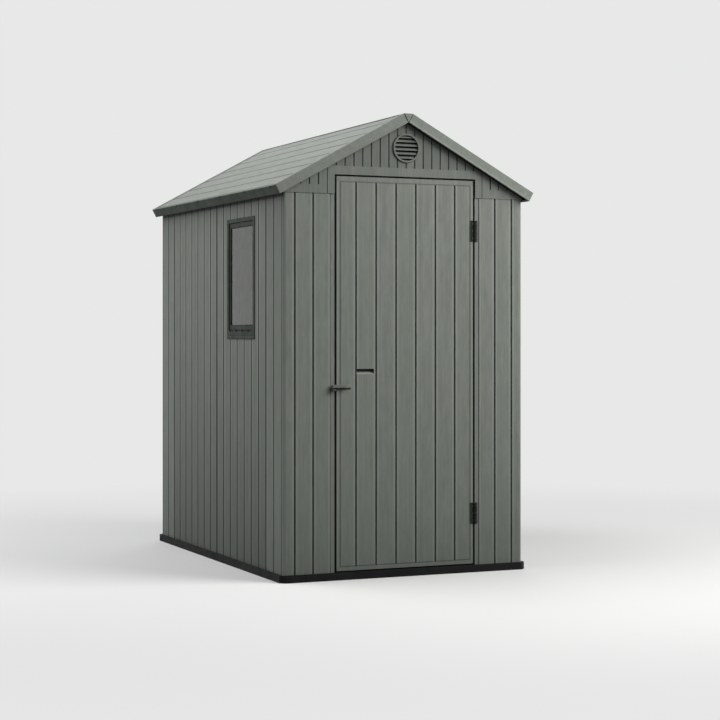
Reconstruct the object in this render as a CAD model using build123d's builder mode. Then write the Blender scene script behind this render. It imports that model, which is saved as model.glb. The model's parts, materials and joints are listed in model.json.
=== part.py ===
from build123d import *
import math
import os

# A small garden shed of moulded, grooved panels, in millimetres.
# The origin is the centre of the footprint, on the underside of the floor. The door faces -Y.

# Overall sizes
wall_width = 1168.0
wall_depth = 1782.0
ridge_height = 2057.0
roof_pitch = 28.8
eave_overhang = 45.0
gable_overhang = 31.5

# Floor
floor_height = 33.0
floor_margin = 15.0
floor_corner = 22.0
floor_joint = 2.0
seat_depth = 8.0
seat_play = 1.0
tread_pitch = 92.0
tread_width = 6.0
tread_depth = 2.5
tread_border = 60.0
threshold_height = 12.0

# Wall panels and their boards
wall_thickness = 20.0
board_pitch = 96.8
panel_boards = 7
groove_width = 7.0
groove_floor = 2.5
groove_depth = 4.5
groove_edge = 3.0
groove_edge_depth = 0.8
joint_bevel = 4.0
corner_round = 14.0
corner_board = 54.3
front_board = 85.2
front_grooves = 2
tongue_length = 8.0
tongue_thickness = 7.0
tongue_play = 0.5

# Door leaf
door_width = 669.0
door_thickness = 28.0
door_boards = 7
door_board_pitch = 96.6
door_side_gap = 9.0
door_head_gap = 7.0
door_floor_gap = 5.5
doorway_rise = 84.5
door_rim = 17.0
door_top_rail = 24.0
door_bottom_rail = 18.0
rim_line_width = 6.0
rim_line_depth = 1.2
pull_inset = 138.0
pull_width = 83.0
pull_top = 924.0
pull_mouth = 22.0
pull_slot = 11.0
pull_depth = 20.0
pull_lip = 6.0
pull_undercut = 9.0

# Door frame
jamb_face = 18.5
jamb_depth = 45.0
jamb_setback = 2.0
stop_lap = 5.0
stop_thickness = 12.0
stop_gap = 5.0
head_stop_height = 30.0

# Gables
gable_proud = 3.0
gable_edge_height = 23.0
gable_plain_band = 38.0
gable_board_setback = 1.2
gable_grooves = 12
gable_groove_pitch = 42.0
gable_groove_width = 6.0
gable_groove_depth = 3.5
gable_joint = 0.4
gable_line_width = 3.5
gable_line_depth = 2.0

# Round vent
vent_drop = 152.0
vent_ring = 130.0
vent_bore = 113.0
vent_flange = 6.0
vent_flange_round = 2.5
vent_mouth_bevel = 2.0
vent_collar = 3.0
vent_play = 0.4
slat_pitch = 18.3
slat_chord = 16.0
slat_thickness = 3.5
slat_count = 7
slat_tilt = 50.0
slat_setback = 10.0
slat_drop = 4.0
slat_root = 1.0

# Roof
roof_board_pitch = 100.0
roof_first_groove = 97.0
roof_groove_count = 6
roof_groove_width = 7.0
roof_groove_depth = 2.5
roof_thickness = 24.0
roof_step = 4.0
trim_drop = 45.0
trim_thickness = 10.0
trim_flange = 36.0
trim_round = 7.0
trim_bead = 6.0
trim_bead_proud = 2.0
ridge_gap = 2.4
roof_play = 0.6
eave_thickness = 8.0
eave_return = 16.0
eave_return_thickness = 5.0
eave_notches = 6
eave_notch_pitch = 338.0
eave_notch_width = 22.0
eave_notch_height = 8.0
eave_notch_depth = 3.5
beam_width = 34.0
beam_height = 50.0
beam_wall = 2.5

# Window in the left wall
window_centre = -345.0
window_width = 380.0
window_height = 557.0
window_drop = 82.0
window_proud = 3.0
window_bar = 25.0
window_head_bar = 19.0
window_lap = 10.0
window_play = 1.0
window_lip = 8.0
window_lip_thickness = 4.0
sash_setback = 5.0
sash_thickness = 14.0
sash_bar = 20.0
sash_side_bar = 13.0
pane_setback = 4.0
pane_thickness = 3.0
pane_lap = 6.0
pane_play = 0.2
drain_count = 4
drain_width = 58.0
drain_height = 7.0
drain_depth = 6.0
drain_pitch = 82.0
sill_height = 16.0
sill_reach = 4.0
sill_fall = 5.0

# Hinges
hinge_inset = 181.0
hinge_length = 93.0
hinge_leaf = 14.0
hinge_plate = 2.5
knuckle_count = 3
knuckle_radius = 4.5
knuckle_gap = 0.5
pin_radius = 2.0
pin_play = 0.08
pin_head_radius = 3.6
pin_head_height = 2.0
pin_offset = 3.5

# Padlock eyes
eye_radius = 4.5
eye_reach = 13.0
eye_projection = 23.0
eye_margin = 9.0
eye_round = 5.0
eye_wall_gap = 5.0
door_eye_foot = 843.0
door_eye_height = 12.0
door_eye_length = 101.0
door_eye_taper = 30.0
jamb_eye_gap = 6.0
jamb_eye_height = 8.0

# Places worked out from the sizes
pitch_angle = math.radians(roof_pitch)
front_y = -wall_depth / 2
wall_half = wall_width / 2
ridge_run = trim_drop * math.tan(pitch_angle)
ridge_half = trim_drop * math.sin(pitch_angle)
apex = ridge_height + ridge_half * math.tan(pitch_angle)
eave_run = (wall_half + eave_overhang) / math.cos(pitch_angle)
roof_half_length = wall_depth / 2 + gable_overhang
roof_under = roof_step + roof_thickness


def slope_point(run, depth, side=1):
    """The X and Z of a point down the slope from the apex, under the roof's outer surface."""
    across = run * math.cos(pitch_angle) - depth * math.sin(pitch_angle)
    up = apex - run * math.sin(pitch_angle) - depth * math.cos(pitch_angle)
    return (side * across, up)


def under_roof_height(x):
    """The height of the roof panels' underside at a distance from the middle."""
    return apex - roof_under / math.cos(pitch_angle) - abs(x) * math.tan(pitch_angle)


wall_foot = floor_height - seat_depth
front_wall_height = under_roof_height(wall_half) - gable_edge_height
panel_width = panel_boards * board_pitch
side_return = (wall_depth - 2 * panel_width) / 2
rear_return = (wall_width - panel_width) / 2
doorway_half = door_width / 2 + door_side_gap
doorway_head = front_wall_height + doorway_rise
front_return = wall_half - doorway_half - jamb_face
door_foot = floor_height + door_floor_gap
door_head = doorway_head - door_head_gap
door_back = front_y + door_thickness
stop_face = door_back + stop_gap
stop_edge = door_width / 2 - stop_lap
gable_face = front_y - gable_proud
gable_back = front_y + wall_thickness
vent_height = ridge_height - vent_drop
window_foot = front_wall_height - window_drop - window_height
hinge_x = door_width / 2 + door_side_gap / 2
hinge_y = front_y - pin_offset
hinge_feet = {"upper": door_head - hinge_inset - hinge_length, "lower": door_foot + hinge_inset}
eye_x = -(doorway_half + jamb_face) + eye_margin
eye_y = front_y - eye_reach
face_turns = {"front": 0, "rear": 180, "left": -90, "right": 90}


def under_roof(side):
    """The plane of a roof panel's underside. Its normal points up and out."""
    return Plane(
        origin=(0, 0, under_roof_height(0)),
        x_dir=(0, 1, 0),
        z_dir=(side * math.sin(pitch_angle), 0, math.cos(pitch_angle)),
    )


def place(face, along, inward=0.0):
    """A place on a wall's outer face in plan, turned so that +Y goes into the wall."""
    places = {
        "front": (along, front_y + inward),
        "rear": (along, -front_y - inward),
        "left": (-wall_half + inward, along),
        "right": (wall_half - inward, along),
    }
    x, y = places[face]
    return Location((x, y, 0), (0, 0, face_turns[face]))


def cut_groove(mode=Mode.SUBTRACT):
    """A tapered board groove with eased edges, cut from a face that lies on the X axis."""
    Polygon(
        (-groove_width / 2 - groove_edge, 0),
        (groove_width / 2 + groove_edge, 0),
        (groove_width / 2, groove_edge_depth),
        (groove_floor / 2, groove_depth),
        (-groove_floor / 2, groove_depth),
        (-groove_width / 2, groove_edge_depth),
        align=None,
        mode=mode,
    )


def cut_bevel():
    """The bevel of an outer edge where two panels meet."""
    Polygon(
        (-joint_bevel, 0),
        (joint_bevel, 0),
        (0, joint_bevel),
        align=None,
        mode=Mode.SUBTRACT,
    )


def add_tongue():
    """The tongue on a panel's edge."""
    Rectangle(2 * tongue_length, tongue_thickness)


def cut_socket():
    """The groove that takes a neighbour's tongue."""
    Rectangle(
        2 * (tongue_length + tongue_play),
        tongue_thickness + 2 * tongue_play,
        mode=Mode.SUBTRACT,
    )


def write(part, label):
    """Labels a piece and writes its file."""
    part.label = label
    export_step(part, "parts/" + label + ".step")


os.makedirs("parts", exist_ok=True)

# Floor: two moulded halves with a seat for the walls, tread grooves and a threshold rib
floor_half_width = wall_half + floor_margin
floor_half_depth = wall_depth / 2 + floor_margin
tread_length = wall_depth / 2 - wall_thickness - 2 * tread_border
tread_rows = int((wall_width - 2 * (wall_thickness + tread_border)) / tread_pitch)
for end, label in ((-1, "floor_front"), (1, "floor_rear")):
    with BuildPart() as floor_half:
        with BuildSketch() as slab:
            Rectangle(2 * floor_half_width, 2 * floor_half_depth)
            chamfer(slab.vertices(), floor_corner)
            with Locations((0, -end * floor_half_depth)):
                Rectangle(
                    2 * floor_half_width,
                    2 * floor_half_depth + floor_joint,
                    mode=Mode.SUBTRACT,
                )
        extrude(amount=floor_height)
        with BuildSketch(Plane.XY.offset(wall_foot)):
            Rectangle(wall_width + 2 * seat_play, wall_depth + 2 * seat_play)
            Rectangle(
                wall_width - 2 * (wall_thickness + seat_play),
                wall_depth - 2 * (wall_thickness + seat_play),
                mode=Mode.SUBTRACT,
            )
            with Locations((0, front_y)):
                Rectangle(2 * (doorway_half + jamb_face), 2 * jamb_depth, mode=Mode.SUBTRACT)
        extrude(amount=seat_depth, mode=Mode.SUBTRACT)
        with BuildSketch(Plane.XY.offset(floor_height)):
            with Locations((0, end * wall_depth / 4)):
                with GridLocations(tread_pitch, 0, tread_rows, 1):
                    Rectangle(tread_width, tread_length)
        extrude(amount=-tread_depth, mode=Mode.SUBTRACT)
        if end < 0:
            with BuildSketch(Plane.XY.offset(floor_height)):
                with Locations((0, stop_face)):
                    Rectangle(2 * stop_edge, stop_thickness, align=(Align.CENTER, Align.MIN))
            extrude(amount=threshold_height)
    write(floor_half.part, label)

# Corners: L-shaped pieces with a rounded edge and boards on both faces
for side, hand in ((-1, "left"), (1, "right")):
    for end, end_name in ((-1, "front"), (1, "rear")):
        end_return = front_return if end < 0 else rear_return
        corner_x = side * wall_half
        corner_y = end * wall_depth / 2
        joint_y = corner_y - end * side_return
        joint_x = corner_x - side * end_return
        with BuildPart() as corner:
            with BuildSketch(Plane.XY.offset(wall_foot)) as plan:
                with BuildLine():
                    Polyline(
                        (joint_x, corner_y),
                        (corner_x, corner_y),
                        (corner_x, joint_y),
                        (corner_x - side * wall_thickness, joint_y),
                        (corner_x - side * wall_thickness, corner_y - end * wall_thickness),
                        (joint_x, corner_y - end * wall_thickness),
                        close=True,
                    )
                make_face()
                edge = plan.vertices().sort_by_distance((corner_x, corner_y, wall_foot))[0]
                fillet(edge, corner_round)
                for index in range(front_grooves):
                    groove_x = corner_x - side * (corner_board + index * front_board)
                    with Locations(place(end_name, groove_x)):
                        cut_groove()
                with Locations(place(hand, joint_y + end * board_pitch)):
                    cut_groove()
                with Locations(place(hand, joint_y)):
                    cut_bevel()
                with Locations(place(hand, joint_y, wall_thickness / 2)):
                    if end < 0:
                        cut_socket()
                    else:
                        add_tongue()
                with Locations(place(end_name, joint_x)):
                    cut_bevel()
                if end > 0:
                    with Locations(place(end_name, joint_x, wall_thickness / 2)):
                        if side < 0:
                            cut_socket()
                        else:
                            add_tongue()
            extrude(amount=ridge_height)
            split(bisect_by=under_roof(side), keep=Keep.BOTTOM)
            with BuildSketch(Plane.XY.offset(front_wall_height)):
                with Locations((0, corner_y)):
                    Rectangle(2 * wall_width, 2 * wall_thickness)
            extrude(amount=ridge_height, mode=Mode.SUBTRACT)
        write(corner.part, "corner_" + end_name + "_" + hand)

# Side and rear panels: seven boards, a tongue on one edge and a socket on the other
window_face = Plane(origin=(-wall_half, window_centre, 0), x_dir=(0, -1, 0), z_dir=(-1, 0, 0))
frame_foot = window_foot + sill_height
frame_height = window_height - sill_height
panel_places = {
    "panel_left_front": ("left", -panel_width / 2),
    "panel_left_rear": ("left", panel_width / 2),
    "panel_right_front": ("right", -panel_width / 2),
    "panel_right_rear": ("right", panel_width / 2),
    "panel_rear": ("rear", 0.0),
}
for label, (face, centre) in panel_places.items():
    with BuildPart() as panel:
        with BuildSketch(Plane.XY.offset(wall_foot)):
            with Locations(place(face, centre)):
                Rectangle(panel_width, wall_thickness, align=(Align.CENTER, Align.MIN))
            for index in range(1, panel_boards):
                with Locations(place(face, centre - panel_width / 2 + index * board_pitch)):
                    cut_groove()
            for edge_place in (centre - panel_width / 2, centre + panel_width / 2):
                with Locations(place(face, edge_place)):
                    cut_bevel()
            with Locations(place(face, centre - panel_width / 2, wall_thickness / 2)):
                add_tongue()
            with Locations(place(face, centre + panel_width / 2, wall_thickness / 2)):
                cut_socket()
        if face == "rear":
            extrude(amount=front_wall_height - wall_foot)
        else:
            extrude(amount=ridge_height)
            split(bisect_by=under_roof(-1 if face == "left" else 1), keep=Keep.BOTTOM)
        if label == "panel_left_front":
            with BuildSketch(window_face):
                with Locations((0, frame_foot + window_lap)):
                    Rectangle(
                        window_width - 2 * window_lap,
                        frame_height - 2 * window_lap,
                        align=(Align.CENTER, Align.MIN),
                    )
            extrude(amount=-wall_thickness, mode=Mode.SUBTRACT)
    write(panel.part, label)

# Door frame: two posts with a stop behind the leaf, and a stop under the gable
for side, hand in ((-1, "left"), (1, "right")):
    with BuildPart() as jamb:
        with BuildSketch(Plane.XY.offset(floor_height)):
            with Locations((side * (doorway_half + jamb_face / 2), front_y + jamb_setback)):
                Rectangle(
                    jamb_face,
                    jamb_depth - jamb_setback,
                    align=(Align.CENTER, Align.MIN),
                )
        extrude(amount=front_wall_height - floor_height)
        with BuildSketch(Plane.XY.offset(front_wall_height)):
            with Locations((side * (doorway_half + jamb_face / 2), gable_back)):
                Rectangle(
                    jamb_face,
                    front_y + jamb_depth - gable_back,
                    align=(Align.CENTER, Align.MIN),
                )
        extrude(amount=doorway_head + head_stop_height - front_wall_height)
        with BuildSketch(Plane.XY.offset(floor_height)):
            with Locations((side * (stop_edge + doorway_half) / 2, stop_face)):
                Rectangle(
                    doorway_half - stop_edge,
                    stop_thickness,
                    align=(Align.CENTER, Align.MIN),
                )
        extrude(amount=door_head - stop_lap - floor_height)
    write(jamb.part, "jamb_" + hand)

with BuildPart() as head_stop:
    with BuildSketch(Plane.YZ.offset(-doorway_half)):
        with BuildLine():
            Polyline(
                (gable_back, doorway_head),
                (stop_face, doorway_head),
                (stop_face, door_head - stop_lap),
                (stop_face + stop_thickness, door_head - stop_lap),
                (stop_face + stop_thickness, doorway_head + head_stop_height),
                (gable_back, doorway_head + head_stop_height),
                close=True,
            )
        make_face()
    extrude(amount=2 * doorway_half)
write(head_stop.part, "head_stop")

# Gables: two halves at each end, with short grooves under the roof's edge
vent_hole = vent_bore / 2 + vent_collar + vent_play
post_line = round((doorway_half + jamb_face) / gable_groove_pitch) * gable_groove_pitch
for side, hand in ((-1, "left"), (1, "right")):
    for end, end_name in ((-1, "front"), (1, "rear")):
        turn = -end * side
        outer_face = Plane(
            origin=(0, end * -gable_face, 0),
            x_dir=(-end, 0, 0),
            z_dir=(0, end, 0),
        )
        with BuildPart() as gable:
            with BuildSketch(outer_face):
                with BuildLine():
                    Polyline(
                        (turn * gable_joint / 2, front_wall_height),
                        (turn * wall_half, front_wall_height),
                        (turn * wall_half, under_roof_height(wall_half)),
                        (turn * gable_joint / 2, under_roof_height(gable_joint / 2)),
                        close=True,
                    )
                make_face()
                if end < 0:
                    with Locations((0, front_wall_height)):
                        Rectangle(
                            2 * doorway_half,
                            2 * (doorway_head - front_wall_height),
                            mode=Mode.SUBTRACT,
                        )
                    with Locations((0, vent_height)):
                        Circle(vent_hole, mode=Mode.SUBTRACT)
            extrude(amount=-(wall_thickness + gable_proud))
            band_head = gable_plain_band + (doorway_head if end < 0 else front_wall_height)
            with BuildSketch(outer_face):
                with Locations((turn * gable_joint / 2, band_head)):
                    Rectangle(
                        post_line - gable_joint / 2,
                        ridge_height - band_head,
                        align=(Align.MIN if turn > 0 else Align.MAX, Align.MIN),
                    )
            extrude(amount=-gable_board_setback, mode=Mode.SUBTRACT)
            with BuildSketch(outer_face):
                for index in range(gable_grooves + 1):
                    groove_x = index * gable_groove_pitch
                    over_door = end < 0 and groove_x < doorway_half
                    groove_foot = gable_plain_band + (doorway_head if over_door else front_wall_height)
                    if groove_x != post_line:
                        with Locations((turn * groove_x, groove_foot)):
                            Rectangle(
                                gable_groove_width,
                                ridge_height - groove_foot,
                                align=(Align.CENTER, Align.MIN),
                            )
            extrude(amount=-gable_groove_depth, mode=Mode.SUBTRACT)
            with BuildSketch(outer_face):
                with Locations((turn * post_line, front_wall_height)):
                    Rectangle(
                        gable_line_width,
                        ridge_height - front_wall_height,
                        align=(Align.CENTER, Align.MIN),
                    )
            extrude(amount=-gable_line_depth, mode=Mode.SUBTRACT)
        write(gable.part, "gable_" + end_name + "_" + hand)

# Round vent: a flanged ring turned about its axis, with tilted slats across it
with BuildPart() as vent:
    with BuildSketch(Plane.YZ.offset(-vent_bore / 2 - slat_root)):
        with Locations((gable_face + slat_setback, vent_height - slat_drop)):
            with GridLocations(0, slat_pitch, 1, slat_count):
                Rectangle(slat_chord, slat_thickness, rotation=slat_tilt)
    extrude(amount=vent_bore + 2 * slat_root)
    with BuildSketch(Plane(origin=(0, gable_back, 0), x_dir=(1, 0, 0), z_dir=(0, -1, 0))):
        with Locations((0, vent_height)):
            Circle(vent_bore / 2 + slat_root)
    extrude(amount=wall_thickness + gable_proud + vent_flange, mode=Mode.INTERSECT)
    with BuildSketch(Plane.YZ) as ring:
        with BuildLine():
            Polyline(
                (gable_face - vent_flange + vent_mouth_bevel, vent_height + vent_bore / 2),
                (gable_face - vent_flange, vent_height + vent_bore / 2 + vent_mouth_bevel),
                (gable_face - vent_flange, vent_height + vent_ring / 2),
                (gable_face, vent_height + vent_ring / 2),
                (gable_face, vent_height + vent_bore / 2 + vent_collar),
                (gable_back, vent_height + vent_bore / 2 + vent_collar),
                (gable_back, vent_height + vent_bore / 2),
                close=True,
            )
        make_face()
        rim = (0, gable_face - vent_flange, vent_height + vent_ring / 2)
        fillet(ring.vertices().sort_by_distance(rim)[0], vent_flange_round)
    revolve(axis=Axis((0, 0, vent_height), (0, 1, 0)))
write(vent.part, "gable_vent")

# Roof panels, with shallow grooves along the roof
for side, hand in ((-1, "left"), (1, "right")):
    with BuildPart() as roof_panel:
        with BuildSketch(Plane.XZ):
            with BuildLine():
                Polyline(
                    slope_point(ridge_run + ridge_gap, roof_step, side),
                    slope_point(eave_run - eave_thickness - roof_play, roof_step, side),
                    slope_point(eave_run - eave_thickness - roof_play, roof_under, side),
                    slope_point(ridge_run + ridge_gap, roof_under, side),
                    close=True,
                )
            make_face()
            for index in range(roof_groove_count):
                run = roof_first_groove + index * roof_board_pitch
                Polygon(
                    slope_point(run - roof_groove_width / 2, roof_step, side),
                    slope_point(run + roof_groove_width / 2, roof_step, side),
                    slope_point(run + groove_floor / 2, roof_step + roof_groove_depth, side),
                    slope_point(run - groove_floor / 2, roof_step + roof_groove_depth, side),
                    align=None,
                    mode=Mode.SUBTRACT,
                )
        extrude(amount=roof_half_length - trim_thickness - roof_play, both=True)
    write(roof_panel.part, "roof_panel_" + hand)

    with BuildPart() as eave:
        with BuildSketch(Plane.XZ):
            with BuildLine():
                Polyline(
                    slope_point(eave_run - eave_thickness, roof_step, side),
                    slope_point(eave_run, roof_step, side),
                    slope_point(eave_run, trim_drop, side),
                    slope_point(eave_run - eave_return, trim_drop, side),
                    slope_point(eave_run - eave_return, trim_drop - eave_return_thickness, side),
                    slope_point(eave_run - eave_thickness, trim_drop - eave_return_thickness, side),
                    close=True,
                )
            make_face()
        extrude(amount=roof_half_length - trim_thickness - roof_play, both=True)
        edge_x, edge_z = slope_point(eave_run, roof_step, side)
        eave_face = Plane(
            origin=(edge_x, 0, edge_z),
            x_dir=(0, 1, 0),
            z_dir=(side * math.cos(pitch_angle), 0, -math.sin(pitch_angle)),
        )
        with BuildSketch(eave_face):
            with GridLocations(eave_notch_pitch, 0, eave_notches, 1):
                Rectangle(eave_notch_width, 2 * eave_notch_height)
        extrude(amount=-eave_notch_depth, mode=Mode.SUBTRACT)
    write(eave.part, "eave_trim_" + hand)

# Rake trims: an edge board with a bead, rolled over onto the roof panel
for side, hand in ((-1, "left"), (1, "right")):
    for end, end_name in ((-1, "front"), (1, "rear")):
        start_x, start_z = slope_point(ridge_run + ridge_gap, 0, side)
        across_slope = Plane(
            origin=(start_x, end * roof_half_length, start_z),
            x_dir=(0, -end, 0),
            z_dir=(side * math.cos(pitch_angle), 0, -math.sin(pitch_angle)),
        )
        turn = -end * side
        with BuildPart() as rake:
            with BuildSketch(across_slope) as profile:
                with BuildLine():
                    Polyline(
                        (0, -turn * trim_drop),
                        (0, -turn * (trim_drop - trim_bead)),
                        (trim_bead_proud, -turn * (trim_drop - trim_bead - trim_bead_proud)),
                        (trim_bead_proud, 0),
                        (trim_flange - roof_step, 0),
                        (trim_flange, -turn * roof_step),
                        (trim_thickness, -turn * roof_step),
                        (trim_thickness, -turn * trim_drop),
                        close=True,
                    )
                make_face()
                shoulder = across_slope.from_local_coords((trim_bead_proud, 0, 0))
                fillet(profile.vertices().sort_by_distance(shoulder)[0], trim_round)
            extrude(amount=eave_run - ridge_run - ridge_gap)
        write(rake.part, "rake_trim_" + end_name + "_" + hand)

# Ridge cap: a keystone strip between the two slopes, deep at both ends
with BuildPart() as ridge_cap:
    with BuildSketch(Plane.XZ):
        with BuildLine():
            Polyline(
                slope_point(ridge_run, 0, -1),
                slope_point(ridge_run, 0, 1),
                slope_point(ridge_run, roof_under, 1),
                (0, under_roof_height(0)),
                slope_point(ridge_run, roof_under, -1),
                close=True,
            )
        make_face()
    extrude(amount=roof_half_length, both=True)
    for end in (-1, 1):
        with BuildSketch(Plane.XZ.offset(-end * roof_half_length)):
            with BuildLine():
                Polyline(
                    slope_point(ridge_run, 0, -1),
                    slope_point(ridge_run, 0, 1),
                    slope_point(ridge_run, trim_drop, 1),
                    close=True,
                )
            make_face()
        extrude(amount=end * trim_thickness)
write(ridge_cap.part, "ridge_cap")

# Ridge beam: a steel tube under the roof, from gable to gable
beam_top = under_roof_height(beam_width / 2)
with BuildPart() as ridge_beam:
    with BuildSketch(Plane.XZ.offset(-front_y - wall_thickness)):
        with Locations((0, beam_top - beam_height / 2)):
            Rectangle(beam_width, beam_height)
            Rectangle(
                beam_width - 2 * beam_wall,
                beam_height - 2 * beam_wall,
                mode=Mode.SUBTRACT,
            )
    extrude(amount=-(wall_depth - 2 * wall_thickness))
write(ridge_beam.part, "ridge_beam")

# Window: a frame set in the wall, a sash, its pane and a sill
open_width = window_width - 2 * window_bar
open_foot = frame_foot + window_bar
open_height = window_foot + window_height - window_head_bar - open_foot
sash_face = window_proud - sash_setback
with BuildPart() as window_frame:
    with BuildSketch(window_face):
        with Locations((0, frame_foot)):
            Rectangle(window_width, frame_height, align=(Align.CENTER, Align.MIN))
    extrude(amount=window_proud)
    with BuildSketch(window_face):
        with Locations((0, frame_foot + window_lap + window_play)):
            Rectangle(
                window_width - 2 * (window_lap + window_play),
                frame_height - 2 * (window_lap + window_play),
                align=(Align.CENTER, Align.MIN),
            )
    extrude(amount=sash_face - sash_thickness - window_lip_thickness)
    with BuildSketch(window_face.offset(window_proud)):
        with Locations((0, open_foot)):
            Rectangle(open_width, open_height, align=(Align.CENTER, Align.MIN))
    extrude(amount=sash_face - sash_thickness - window_proud, mode=Mode.SUBTRACT)
    with BuildSketch(window_face.offset(sash_face - sash_thickness)):
        with Locations((0, open_foot + window_lip)):
            Rectangle(
                open_width - 2 * window_lip,
                open_height - 2 * window_lip,
                align=(Align.CENTER, Align.MIN),
            )
    extrude(amount=-window_lip_thickness, mode=Mode.SUBTRACT)
    with BuildSketch(window_face.offset(window_proud)):
        with Locations((0, open_foot - drain_height / 2)):
            with GridLocations(drain_pitch, 0, drain_count, 1):
                Rectangle(drain_width, drain_height)
    extrude(amount=-drain_depth, mode=Mode.SUBTRACT)
write(window_frame.part, "window_frame")

glass_width = open_width - 2 * (window_play + sash_side_bar)
glass_height = open_height - 2 * (window_play + sash_bar)
glass_middle = open_foot + open_height / 2
with BuildPart() as window_sash:
    with BuildSketch(window_face.offset(sash_face)):
        with Locations((0, glass_middle)):
            Rectangle(open_width - 2 * window_play, open_height - 2 * window_play)
            Rectangle(glass_width, glass_height, mode=Mode.SUBTRACT)
    extrude(amount=-sash_thickness)
    with BuildSketch(window_face.offset(sash_face - pane_setback)):
        with Locations((0, glass_middle)):
            Rectangle(
                glass_width + 2 * (pane_lap + pane_play),
                glass_height + 2 * (pane_lap + pane_play),
            )
    extrude(amount=-pane_thickness, mode=Mode.SUBTRACT)
write(window_sash.part, "window_sash")

with BuildPart() as window_pane:
    with BuildSketch(window_face.offset(sash_face - pane_setback)):
        with Locations((0, glass_middle)):
            Rectangle(glass_width + 2 * pane_lap, glass_height + 2 * pane_lap)
    extrude(amount=-pane_thickness)
write(window_pane.part, "window_pane")

with BuildPart() as window_sill:
    with BuildSketch(Plane.XZ.offset(-window_centre)):
        with BuildLine():
            Polyline(
                (-wall_half, window_foot),
                (-wall_half - sill_reach, window_foot),
                (-wall_half - sill_reach, frame_foot - sill_fall),
                (-wall_half, frame_foot),
                close=True,
            )
        make_face()
    extrude(amount=window_width / 2, both=True)
write(window_sill.part, "window_sill")

# Door leaf: seven boards in a rim, with a finger pull cut into the second board
pull_centre = pull_inset - door_width / 2
door_face = Plane(origin=(0, front_y, 0), x_dir=(1, 0, 0), z_dir=(0, -1, 0))
with BuildPart() as door_leaf:
    with BuildSketch(door_face):
        with Locations((0, door_foot)):
            Rectangle(door_width, door_head - door_foot, align=(Align.CENTER, Align.MIN))
    extrude(amount=-door_thickness)
    line_foot = door_foot + door_bottom_rail
    line_head = door_head - door_top_rail
    with BuildSketch(door_face):
        with Locations((0, (line_foot + line_head) / 2)):
            Rectangle(
                door_width - 2 * door_rim + rim_line_width,
                line_head - line_foot + rim_line_width,
            )
            Rectangle(
                door_width - 2 * door_rim - rim_line_width,
                line_head - line_foot - rim_line_width,
                mode=Mode.SUBTRACT,
            )
    extrude(amount=-rim_line_depth, mode=Mode.SUBTRACT)
    with BuildSketch(Plane.XY.offset(line_foot)):
        for index in range(1, door_boards):
            board_edge = (index - door_boards / 2) * door_board_pitch
            with Locations(place("front", board_edge)):
                cut_groove(mode=Mode.ADD)
    extrude(amount=line_head - line_foot, mode=Mode.SUBTRACT)
    with BuildSketch(Plane.YZ.offset(pull_centre - pull_width / 2)):
        with BuildLine():
            Polyline(
                (front_y, pull_top),
                (front_y + pull_lip, pull_top),
                (front_y + pull_lip, pull_top + pull_undercut),
                (front_y + pull_depth, pull_top + pull_undercut),
                (front_y + pull_depth, pull_top - pull_slot),
                (front_y, pull_top - pull_mouth),
                close=True,
            )
        make_face()
    extrude(amount=pull_width, mode=Mode.SUBTRACT)
write(door_leaf.part, "door_leaf")

# Hinges: two leaves with knuckles in turn, on a headed pin
knuckle_length = hinge_length / knuckle_count
for level, hinge_foot in hinge_feet.items():
    for direction, holder in ((1, "jamb"), (-1, "door")):
        seat_y = front_y + jamb_setback if direction > 0 else front_y
        first_knuckle = 0 if direction > 0 else 1
        with BuildPart() as leaf:
            with BuildSketch(Plane.XY.offset(hinge_foot)):
                with Locations((hinge_x + direction * (knuckle_radius + knuckle_gap), seat_y)):
                    Rectangle(
                        hinge_leaf - knuckle_radius - knuckle_gap,
                        hinge_plate + seat_y - front_y,
                        align=(Align.MIN if direction > 0 else Align.MAX, Align.MAX),
                    )
            extrude(amount=hinge_length)
            for index in range(first_knuckle, knuckle_count, 2):
                knuckle_foot = hinge_foot + index * knuckle_length + knuckle_gap / 2
                with BuildSketch(Plane.XY.offset(knuckle_foot)):
                    with Locations((hinge_x, hinge_y)):
                        Circle(knuckle_radius)
                    with Locations((hinge_x, front_y)):
                        Rectangle(
                            knuckle_radius + knuckle_gap,
                            hinge_plate,
                            align=(Align.MIN if direction > 0 else Align.MAX, Align.MAX),
                        )
                extrude(amount=knuckle_length - knuckle_gap)
            with BuildSketch(Plane.XY.offset(hinge_foot)):
                with Locations((hinge_x, hinge_y)):
                    Circle(pin_radius + pin_play)
            extrude(amount=hinge_length, mode=Mode.SUBTRACT)
        write(leaf.part, "hinge_" + level + "_" + holder + "_leaf")
    with BuildPart() as pin:
        with BuildSketch(Plane.XY.offset(hinge_foot)):
            with Locations((hinge_x, hinge_y)):
                Circle(pin_radius)
        extrude(amount=hinge_length)
        with BuildSketch(Plane.XY.offset(hinge_foot + hinge_length)):
            with Locations((hinge_x, hinge_y)):
                Circle(pin_head_radius)
        extrude(amount=pin_head_height)
    write(pin.part, "hinge_" + level + "_pin")

# Padlock eyes: one on the door that reaches over the gap, one on the post below it
eye_end = -(doorway_half + jamb_face)
door_edge = -door_width / 2
with BuildPart() as door_eye:
    with BuildSketch(Plane.XY.offset(door_eye_foot)) as eye_plan:
        with BuildLine():
            Polyline(
                (eye_end, front_y - eye_wall_gap),
                (eye_end, front_y - eye_projection),
                (eye_end + door_eye_length - door_eye_taper, front_y - eye_projection),
                (eye_end + door_eye_length, front_y),
                (door_edge + stop_lap, front_y),
                (door_edge + stop_lap, front_y - eye_wall_gap),
                close=True,
            )
        make_face()
        tips = eye_plan.vertices().group_by(Axis.X)[0]
        fillet(tips, eye_round)
        with Locations((eye_x, eye_y)):
            Circle(eye_radius, mode=Mode.SUBTRACT)
    extrude(amount=door_eye_height)
write(door_eye.part, "door_eye")

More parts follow.
